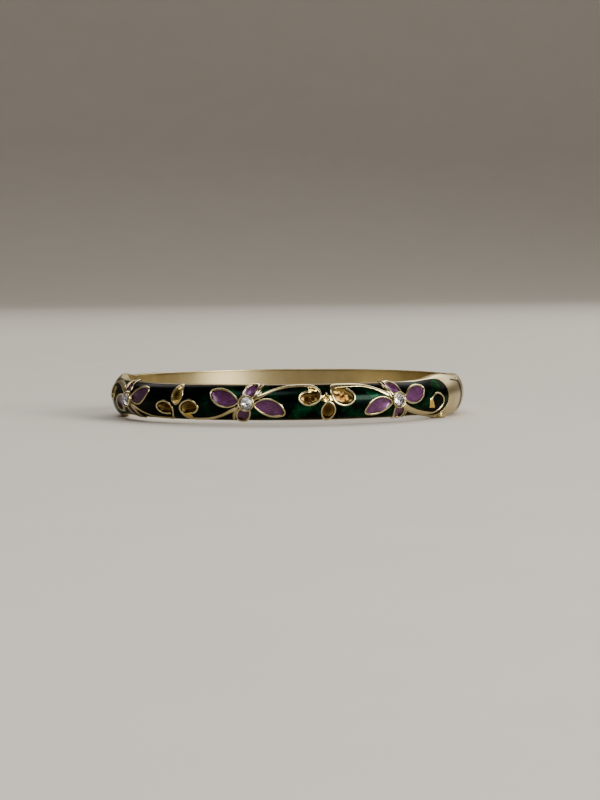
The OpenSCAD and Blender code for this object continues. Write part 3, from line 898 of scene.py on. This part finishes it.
def leaf_side(leaf, inset, u, side):
    """One side of a leaf drawn in by inset, u from the middle of its base at 0 to the middle of its tip
    at 1. The first and last tenth turn round the small circles of the tips, which touch both sides, and
    the rest follows that side's own circle by equal angles."""
    half, left_z, left_r, right_z, right_r = leaf_circles(leaf)
    blunt = np.maximum(leaf.blunt, inset + 0.02)
    gap = right_z - left_z
    rise = ((left_r - blunt) ** 2 - (right_r - blunt) ** 2 + gap ** 2) / (2 * gap)
    reach = np.sqrt(np.maximum((left_r - blunt) ** 2 - rise ** 2, 1e-9))
    left_way, right_way = np.arctan2(rise, reach), np.arctan2(rise - gap, reach)
    tip_way = (left_way + right_way) / 2
    stop, middle, radius = (left_way, left_z, left_r) if side > 0 else (right_way, right_z, right_r)
    start_turn = np.clip(1 - u / tip_share, 0, 1)
    end_turn = np.clip((u - 1) / tip_share + 1, 0, 1)
    side_turn = np.clip((u - tip_share) / (1 - 2 * tip_share), 0, 1)
    way = (side * math.pi - stop) * (1 - side_turn) + stop * side_turn
    way = way + (tip_way - stop) * (end_turn - start_turn)
    at_tip = (start_turn > 0) | (end_turn > 0)
    middle_x = half + np.where(at_tip, np.sign(u - 0.5) * reach, 0)
    middle_z = np.where(at_tip, left_z + rise, middle)
    length = np.where(at_tip, blunt, radius) - inset
    return leaf_frame(leaf, middle_x + length * np.cos(way), middle_z + length * np.sin(way))


def in_leaf(x, z, leaf, inset):
    """Whether points lie inside both of a leaf's circles."""
    half, left_z, left_r, right_z, right_r = leaf_circles(leaf)
    way = leaf_chord(leaf)[1]
    along = (x - leaf.base_x) * math.cos(way) + (z - leaf.base_z) * math.sin(way) - half
    over = -(x - leaf.base_x) * math.sin(way) + (z - leaf.base_z) * math.cos(way)
    in_left = np.hypot(along, over - left_z) < left_r - inset
    return in_left & (np.hypot(along, over - right_z) < right_r - inset)


def inside(x, z, outline):
    """Whether points lie inside a closed outline: a line from each to the right crosses it an odd number
    of times."""
    x0, z0 = outline[:, 0], outline[:, 1]
    x1, z1 = np.roll(x0, -1), np.roll(z0, -1)
    x, z = x[..., None], z[..., None]
    spans = (z0 > z) != (z1 > z)
    rise = np.where(z1 == z0, 1, z1 - z0)
    return (spans & (x < x0 + (x1 - x0) * (z - z0) / rise)).sum(-1) % 2 == 1


def in_setting(x, z):
    """Whether points lie under a flower's setting."""
    return np.hypot(x, z) < bezel_r - 0.1


def in_long_petals(x, z):
    """Whether points lie under a flower's setting or its two long petals."""
    one, other = (in_leaf(turn * x, turn * z, long_petal, wire_w / 2) for turn in (1, -1))
    return in_setting(x, z) | one | other


def in_flower(x, z):
    """Whether points lie under a flower's setting or any of its petals."""
    one, other = (in_leaf(turn * x, turn * z, short_petal, wire_w / 2) for turn in (1, -1))
    return in_long_petals(x, z) | one | other


# Section of a raised wire: over the top a cosine across and a sine to the power 0.8 up, then two hidden
# corners under the glass. Its mark, painted shade where the wire meets the glass, grows towards its foot
over_top = np.linspace(0, math.pi, 11)
wire_across = np.concatenate([np.cos(over_top), [-0.9, 0.9]])
wire_lift = np.concatenate([np.sin(over_top) ** 0.8, [-1.2, -1.2]])
wire_mark = np.concatenate([(1 - np.sin(over_top)) ** 1.5, [1, 1]])


def wire(rows, place, rise=wire_rise, loop=False):
    """A raised wire along rows of x, z and width: the section is set across the path, and both ends close
    in a quarter circle."""
    path, width = rows[:, :2], rows[:, 2]
    if loop:
        step = np.roll(path, -1, 0) - np.roll(path, 1, 0)
    else:
        step = np.gradient(path, axis=0)
    aside = np.stack([-step[:, 1], step[:, 0]], -1) / np.linalg.norm(step, axis=1)[:, None]
    run = np.concatenate([[0], np.cumsum(np.linalg.norm(np.diff(path, axis=0), axis=1))])
    near = np.clip(np.minimum(run, run[-1] - run) / (width / 2), 0, 1)
    close = np.ones(len(path)) if loop else np.maximum(np.sqrt(1 - (1 - near) ** 2), 0.06)
    offset = (width / 2 * close)[:, None] * wire_across
    x = path[:, :1] + aside[:, :1] * offset
    z = path[:, 1:] + aside[:, 1:] * offset
    lift = rise * np.where(wire_lift > 0, wire_lift * close[:, None], wire_lift)
    return tube(place(x, z, lift), loop, wire_mark)


def leaf_outline(leaf, inset, steps):
    """The closed outline of a leaf: up one side and back down the other."""
    u = np.linspace(0, 1, steps, endpoint=False)
    one, other = leaf_side(leaf, inset, u, 1), leaf_side(leaf, inset, 1 - u, -1)
    return np.stack([np.concatenate([one[k], other[k]]) for k in (0, 1)], -1)


def rim(leaf, place, trim=None):
    """The wire round a leaf: the wire's section spread between the leaf's outline and the outline drawn
    in by the wire's width, so that its two tips come out mitred. It sinks under the glass where trim is
    true."""
    u = np.linspace(0, 1, 44, endpoint=False)[:, None]
    inset = wire_w * (1 - wire_across) / 2
    one = leaf_side(leaf, inset, u, 1)
    other = leaf_side(leaf, inset, 1 - u, -1)
    x, z = (np.concatenate([one[k], other[k]]) for k in (0, 1))
    lift = wire_rise * np.broadcast_to(wire_lift, x.shape)
    if trim is not None:
        lift = lift - rim_sink * trim(x, z)
    return tube(place(x, z, lift), True, wire_mark)


def dished(u, v):
    """A petal's lift: it rises from its middle by the square of how near a point is to the rim, which is
    the greater of v and the cube of the way to a tip."""
    return -0.28 + 0.46 * np.maximum(np.abs(v), np.abs(2 * u - 1) ** 3) ** 2


def crowned(u, v):
    """A gold leaf's lift: a parabola across it, times the square root of a sine along it."""
    return 0.02 + 0.16 * (1 - v ** 2) * np.sqrt(np.sin(math.pi * u))


def leaf_skin(leaf, inset, place, height, trim=None):
    """A thin solid filling a leaf: u runs from tip to tip and v from side to side, and height gives its
    lift from both. Its under side is flat and a little narrower, and where trim is true the upper side
    lies just over it. The mark is the greater of v and the sixth power of the way to a tip."""
    u = np.linspace(0.004, 0.996, 36)[:, None]
    v = np.linspace(-1, 1, 15)
    w = np.array([-0.96, 0, 0.96])
    left = leaf_side(leaf, inset, u, 1)
    right = leaf_side(leaf, inset, u, -1)
    over = [right[k] * (1 - v) / 2 + left[k] * (1 + v) / 2 for k in (0, 1)]
    under = [right[k] * (1 + w) / 2 + left[k] * (1 - w) / 2 for k in (0, 1)]
    x, z = (np.concatenate([over[k], under[k]], 1) for k in (0, 1))
    top = height(u, v) + 0 * over[0]
    if trim is not None:
        top = np.where(trim(*over), np.minimum(top, shallow_foot + trimmed_over), top)
    flat = 0 * under[0]
    lift = np.concatenate([top, shallow_foot + flat], 1)
    edge = np.maximum(np.abs(v), np.abs(2 * u - 1) ** 6)
    mark = np.concatenate([edge, 1 + flat], 1)
    along = u * leaf_chord(leaf)[0] + 0 * x
    across = np.concatenate([0 * u + v * (leaf.left + leaf.right) / 2, flat], 1)
    return tube(place(x, z, lift), mark=mark, flow=np.stack([along, across], -1))


def hollow(outline, place, depth, steps=14, dark=1.0, dark_focus=1.0):
    """A sunk gold cup, or with a negative depth a low mound: rings of its outline shrink to its middle
    while they sink by the square root of one less the fourth power of their size. The mark is dark in the
    middle, painted shade in a cup's depth, times the square root of one less the cube of their size to the
    power dark_focus, so that a larger dark_focus draws the dark in."""
    centre = outline.mean(0)
    size = np.concatenate([[1], np.cos(quarter(steps)[:-1]), [0.02]])[:, None]
    x, z = (centre[k] + (outline[:, k] - centre[k]) * size for k in (0, 1))
    lift = cup_lip - (depth + cup_lip) * np.sqrt(1 - size ** 4)
    lift[0] = cup_foot
    return tube(place(x, z, lift + 0 * x), mark=dark * np.sqrt(1 - size ** 3) ** dark_focus)


def seated(angle, r, way, height):
    """Points about a stone's axis, which stands out from the band at an angle: r and way round it, and
    height over the glass's crown."""
    turn = math.radians(angle)
    out = np.array([math.sin(turn), -math.cos(turn), 0])
    aside = np.array([math.cos(turn), math.sin(turn), 0])
    up = np.array([0, 0, 1.0])
    r, way, height = (np.asarray(value, float)[..., None] for value in (r, way, height))
    return (np.array([0, 0, mid_z]) + (glass_crown_r + height) * out
            + r * np.cos(way) * aside + r * np.sin(way) * up)


def setting(angle):
    """A round setting: a wall about the stone's axis whose lip is half a circle, and a pointed seat
    inside. It is darker in the seat than on the lip."""
    lip, way = np.linspace(0, math.pi, 9), whole(64)
    middle, half = (bezel_r + crystal_r) / 2 + 0.01, (bezel_r - crystal_r) / 2 - 0.01
    r = np.concatenate([[0.05, bezel_r], middle + half * np.cos(lip), [crystal_r + 0.02, 0.05]])
    foot, seat = [setting_foot, setting_foot], [seat_top, seat_bottom]
    height = np.concatenate([foot, bezel_rise - half + half * np.sin(lip), seat])
    mark = np.concatenate([[1, 1], 0.2 * np.ones(9), [0.6, 0.6]])[:, None]
    return tube(seated(angle, r[:, None], way, height[:, None] + 0 * way), mark=mark)


def foil_seat(angle):
    """A thin bright cone just behind a stone's pointed back: its under side, then its upper side."""
    r = np.array([0.03, crystal_r + 0.01, crystal_r + 0.01, 0.03])[:, None]
    height = np.array([-0.555, 0.235, 0.265, -0.53])[:, None]
    way = whole(64)
    return tube(seated(angle, r, way, height + 0 * way))


def brilliant(angle):
    """A round brilliant: an eight-sided table, eight stars, eight kites and sixteen halves above the
    girdle, and sixteen halves and eight five-sided mains below it, down to an eight-sided culet. Each
    ring of corners stands at its own radius and height."""
    eight = np.arange(8) * math.pi / 4
    sixteen = np.arange(16) * math.pi / 8

    # From the table's corners down to the culet's: radius, angles, height over the glass's crown
    rings = [
        (0.56 * crystal_r, eight + math.pi / 8, 0.84),
        (0.80 * crystal_r, eight, 0.66),
        (crystal_r - 0.01, sixteen, 0.42),
        (crystal_r - 0.01, sixteen, 0.32),
        (0.28 * crystal_r, eight, -0.27),
        (0.03, eight, -0.46)]
    points = np.concatenate([seated(angle, r, way, np.full(way.shape, h)) for r, way, h in rings])
    k = np.arange(8)
    table, star, halves, culet = k, 8 + k, 48 + k, 56 + k
    top = 16 + np.arange(16)
    low = top + 16
    next_star, next_half, next_culet = (np.roll(ring, -1) for ring in (star, halves, culet))
    near, mid, far = 2 * k, 2 * k + 1, (2 * k + 2) % 16
    facets = [
        (np.roll(table, 1), star, table),
        (table, star, top[mid], next_star),
        (star, top[near], top[mid]),
        (next_star, top[mid], top[far]),
        (top, low, np.roll(low, -1), np.roll(top, -1)),
        (low[near], halves, low[mid]),
        (low[mid], next_half, low[far]),
        (low[mid], halves, culet, next_culet, next_half)]
    faces = [table.tolist()]
    for corners in facets:
        faces += np.stack(corners, -1).tolist()
    faces.append(culet[::-1].tolist())
    return skin(points, np.zeros((0, 4), int), faces)


def grain(x, z, place):
    """A little half ball: rings of a circle, lifted by the square root of one less their size squared."""
    lean = quarter(8, 0.05)[:, None]
    way = whole(20)
    size = np.concatenate([[[1.0]], np.cos(lean)])
    lift = np.concatenate([[[shallow_foot]], grain_r * np.sin(lean)])
    return tube(place(x + grain_r * size * np.cos(way), z + grain_r * size * np.sin(way), lift + 0 * way))


def loop_point(row):
    """Number of the point of a vine's line that is at a row of its loop."""
    return (len(vine_rows) + row) * vine_points


def trefoil_lines(second):
    """A trefoil's two vines with their loops: each one's side, its line, and its opening's outline."""
    start = np.array(vine_rows) - [arc_mm(flower_pitch) / 2, 0, 0]
    lines = []
    for side, loop in ((1, round_loop), (-1, second)):
        line = spline(np.concatenate([start, np.array(loop["rows"])]), vine_points)
        lines.append((side, line, line[loop_point(loop["opens"]):, :2]))
    return lines


def loop_web(line):
    """Outline of the small plate between a loop's inner end and its vine: along the vine, then back to
    that end."""
    first, last = (loop_point(row) for row in web_rows)
    return np.concatenate([line[first:last + 1, :2], line[-1:, :2]])


def enamel_field():
    """The green glass between the wires: s runs along the band, by a sine to the power 0.8 over its round
    ends, and z from edge to edge of its outline. Its face is the band's own dome, sunk under the flowers
    and deeper under each setting, loop and drop, and its back is flat."""
    end_s = arc_mm(glass_end)
    swept = end_s + glass_end_r * np.sin(quarter(22, 0.03)) ** 0.8
    s = np.unique(np.concatenate([-swept, np.linspace(-end_s, end_s, 640), swept]))[:, None]
    half = glass_outline(s) - glass_gap
    z = half * np.linspace(-1, 1, 49)
    x = s + 0 * z
    lift = np.full(z.shape, glass_lift)
    for angle, turn, second, third, _ in trefoils:
        across, up = turn * (x - arc_mm(angle)), turn * z
        sunk = in_leaf(across, up, third, wire_w / 2)
        for side, _, opening in trefoil_lines(second):
            sunk |= inside(side * across, up, opening)
        lift = np.where(sunk, under_cup, lift)
    for angle, mirror in flowers:
        across = mirror * (x - arc_mm(angle))
        lift = np.where(in_flower(across, z), under_flower, lift)
        lift = np.where(in_setting(across, z), under_cup, lift)
    face = on_band(x, z, lift)
    back_z = half * np.array([0.97, 0, -0.97])
    back = round_the_ring(np.degrees(s / glass_crown_r), bed_floor + glass_gap, back_z)
    flow = np.concatenate([np.stack([x, z], -1), np.stack([s + 0 * back_z, back_z], -1)], 1)
    return tube(np.concatenate([face, back], 1), flow=flow)


def border_line():
    """The thin metal edge round the glass field, just outside the glass's outline, closed over each tip
    and laid in even steps. Painted shade darkens it along the band."""
    way = powered(np.sin(np.linspace(-math.pi / 2, math.pi / 2, 500)[1:-1]), 0.8)
    s = np.concatenate([[-glass_tip], glass_tip * way, [glass_tip]])
    half = glass_outline(s) + border_out
    line = np.stack([np.concatenate([s, s[::-1]]), np.concatenate([half, -half[::-1]])], -1)
    step = np.linalg.norm(np.diff(line, axis=0, append=line[:1]), axis=1)
    line = line[step > 0.02]
    run = np.concatenate([[0], np.cumsum(np.linalg.norm(np.diff(line, axis=0), axis=1))])
    even = np.linspace(0, run[-1], 640)
    rows = np.stack([np.interp(even, run, line[:, k]) for k in (0, 1)] + [np.full(640, border_w)], -1)
    edge = wire(rows, motif_place(0), border_rise, True)
    # Painted shade: dark along the band, fading out towards the caps
    wear_and_shade = border_shade * (1 - smooth((np.abs(rows[:, :1]) - arc_mm(border_shade_to)) / arc_mm(border_shade_fade)))
    edge["mark"] = np.maximum(edge["mark"].reshape(len(rows), -1), wear_and_shade).reshape(-1)
    return edge


def cap_line():
    """A painted shadow line on the clasp's cap: a low dark wire straight along the drawing towards the
    seam.
    """
    s = arc_mm(np.linspace(*cap_line_turns, 30))
    rows = np.stack([s, np.linspace(*cap_line_z, 30), np.full(30, cap_line_w)], -1)
    return wire(rows, motif_place(0), cap_line_rise)


def on_front(name, shapes, material, sharp=35.0):
    """A piece of gold that is one with the front half."""
    make_piece(name, shapes, material, "front", ["front_half"], sharp)


# The flowers. Each has two long petals, then two short ones that pass under them

petals, petal_rims, gold_leaves, settings, foils = [], [], [], [], []
for angle, mirror in flowers:
    places = [motif_place(angle, mirror, turn) for turn in (1, -1)]
    for leaf, trim in ((long_petal, None), (short_petal, in_long_petals)):
        petal_rims += [rim(leaf, place, trim) for place in places]
        petals += [leaf_skin(leaf, wire_w * 0.45, place, dished, trim) for place in places]
    gold_leaves += [leaf_skin(gold_leaf, 0, place, crowned, in_flower) for place in places]
    settings.append(setting(angle))
    foils.append(foil_seat(angle))
for number, petal in enumerate(petals, 1):
    make_piece(f"petal_{number}", [petal], purple, "front", [f"petal_glass_{number}"])
on_front("petal_rims", petal_rims, gold_wire)
on_front("gold_leaves", gold_leaves, gold_wire)
on_front("settings", settings, gold_wire)
make_piece("stone_foils", foils, foil, "front", [])
for side, (angle, _) in zip(("left", "middle", "right"), flowers):
    stone = [brilliant(angle)]
    make_piece(f"stone_{side}", stone, crystal, "front", [f"crystal_{side}"], sharp=5.0)

# The trefoils, and the vines that run into their loops

vines, cups, webs, leaf_rims, beads, buds = [], [], [], [], [], []
for angle, turn, second, third, is_open in trefoils:
    for side, line, opening in trefoil_lines(second):
        place = motif_place(angle, side, turn)
        vines.append(wire(line, place))
        # Painted shade: each cup darkens towards its middle
        cups.append(hollow(opening, place, loop_depth))
        if side > 0:
            webs.append(hollow(loop_web(line), place, depth=-0.1, steps=4, dark=0.3))
    place = motif_place(angle, 1, turn)
    leaf_rims.append(rim(third, place))
    outline = leaf_outline(third, wire_w * 0.4, 32)
    if is_open:
        cups.append(hollow(outline, place, loop_depth * 0.8))
        webs.append(hollow(np.array(grain_plate), place, depth=-0.04, steps=4, dark=0.3))
        beads += [grain(x, z, place) for x, z in grains]
    else:
        # Painted reflection: a dark spot mirrored in the middle of the bud
        buds.append(hollow(outline, place, depth=-0.16, steps=10, dark_focus=9.0))
on_front("vines", vines, gold_wire)
on_front("third_leaf_rims", leaf_rims, gold_wire)
on_front("loop_cups", cups, gold_deep)
on_front("webs", webs, gold_chased, sharp=20)
on_front("bud", buds, gold_chased)
on_front("grains", beads, gold_wire)

# The scrolls beyond the end flowers, the lines, and the glass between all of it

scrolls, scroll_plates = [], []
for turn in (1, -1):
    place = motif_place(turn * flower_pitch, 1, turn)
    scrolls.append(wire(spline(scroll_rows, scroll_points), place))
    scroll_plates.append(hollow(np.array(scroll_plate), place, depth=-0.16, steps=5, dark=0.3))
on_front("scrolls", scrolls, gold_wire)
on_front("scroll_plates", scroll_plates, gold_chased)
on_front("glass_edge", [border_line()], gold_wire)
on_front("cap_line", [cap_line()], gold_shadow)
make_piece("enamel", [enamel_field()], green, "front", ["green_enamel"])

# Floor, light and camera

# The photograph's view: the camera's turn, rise, roll and distance, the focal length and the picture's
# size in pixels, and the pixel where the ring's middle lies
view_turn = math.radians(13.0)
view_rise = math.radians(3.1)
view_roll = math.radians(0.56)
view_distance = 0.5
focal_px = 2579.0
picture_w = 600.0
picture_h = 800.0
ring_px = (287.85, 393.0)
middle = Vector((0, 0, mid_z * MM))


def pale_ground():
    """The floor, which rises behind the object: a line that is flat, then a quarter circle, then upright,
    carried sideways. It is in metres."""
    bend = quarter(24)[1:]
    far, bend_r = 1.1, 0.7
    away = np.concatenate([np.linspace(-2.0, far, 12), far + bend_r * np.sin(bend), [far + bend_r] * 4])
    up = np.concatenate([np.zeros(12), bend_r * (1 - np.cos(bend)), np.linspace(0.9, 2.4, 4)])
    side = np.linspace(-2.5, 2.5, 12)[:, None]
    x = side * math.cos(view_turn) - away * math.sin(view_turn)
    y = side * math.sin(view_turn) + away * math.cos(view_turn)
    points = np.stack([x, y, up + 0 * side], -1)
    mesh = bpy.data.meshes.new("ground")
    mesh.from_pydata(points.reshape(-1, 3).tolist(), [], grid_quads(*points.shape[:2])[:, ::-1].tolist())
    mesh.polygons.foreach_set("use_smooth", np.ones(len(mesh.polygons), bool))
    mesh.materials.append(pale_floor())
    ground = bpy.data.objects.new("ground", mesh)
    bpy.context.scene.collection.objects.link(ground)


def outwards(turn, rise):
    """Direction from the ring's middle at a turn about it, 0 in front, and a rise over the floor."""
    return Vector((math.sin(turn) * math.cos(rise), -math.cos(turn) * math.cos(rise), math.sin(rise)))


def soft_light(name, turn, rise, distance, size, power, colour):
    """A rectangular soft light at a turn and rise in degrees about the ring, aimed at its middle."""
    out = outwards(math.radians(turn), math.radians(rise))
    light = bpy.data.objects.new(name, bpy.data.lights.new(name, "AREA"))
    light.data.shape = "RECTANGLE"
    light.data.size, light.data.size_y = size
    light.data.energy = power
    light.data.color = colour
    light.location = middle + out * distance
    light.rotation_euler = out.to_track_quat("Z", "Y").to_euler()
    light.visible_camera = False
    bpy.context.scene.collection.objects.link(light)


def place_camera():
    """The camera at the photograph's angle, aimed at the ring's middle, its picture shifted to frame it."""
    lens = bpy.data.cameras.new("camera")
    lens.sensor_fit = "HORIZONTAL"
    lens.sensor_width = 36.0
    lens.lens = lens.sensor_width * focal_px / picture_w
    lens.shift_x = (picture_w / 2 - ring_px[0]) / picture_w
    lens.shift_y = (ring_px[1] - picture_h / 2) / picture_w
    lens.clip_start = 0.01
    out = outwards(view_turn, view_rise)
    camera = bpy.data.objects.new("camera", lens)
    turn = out.to_track_quat("Z", "Y").to_matrix().to_4x4()
    place = Matrix.Translation(middle + out * view_distance)
    camera.matrix_world = place @ turn @ Matrix.Rotation(-view_roll, 4, "Z")
    bpy.context.scene.collection.objects.link(camera)
    bpy.context.scene.camera = camera


pale_ground()
soft_light("window", 62, 18, 0.9, (0.5, 0.4), 8, (1.0, 0.98, 0.95))
soft_light("side", 150, 33, 1.0, (0.7, 0.7), 2.0, (1.0, 0.98, 0.95))
soft_light("ceiling", 190, 46, 1.1, (1.4, 0.5), 5.0, (1.0, 0.98, 0.95))
soft_light("fill", -10, 58, 1.0, (0.5, 0.4), 2.5, (0.97, 0.98, 1.0))
world = bpy.data.worlds.new("room")
world.use_nodes = True
world.node_tree.nodes["Background"].inputs[0].default_value = (0.55, 0.52, 0.48, 1)
world.node_tree.nodes["Background"].inputs[1].default_value = 0.28
bpy.context.scene.world = world
bpy.context.scene.view_settings.look = "AgX - Medium High Contrast"
place_camera()
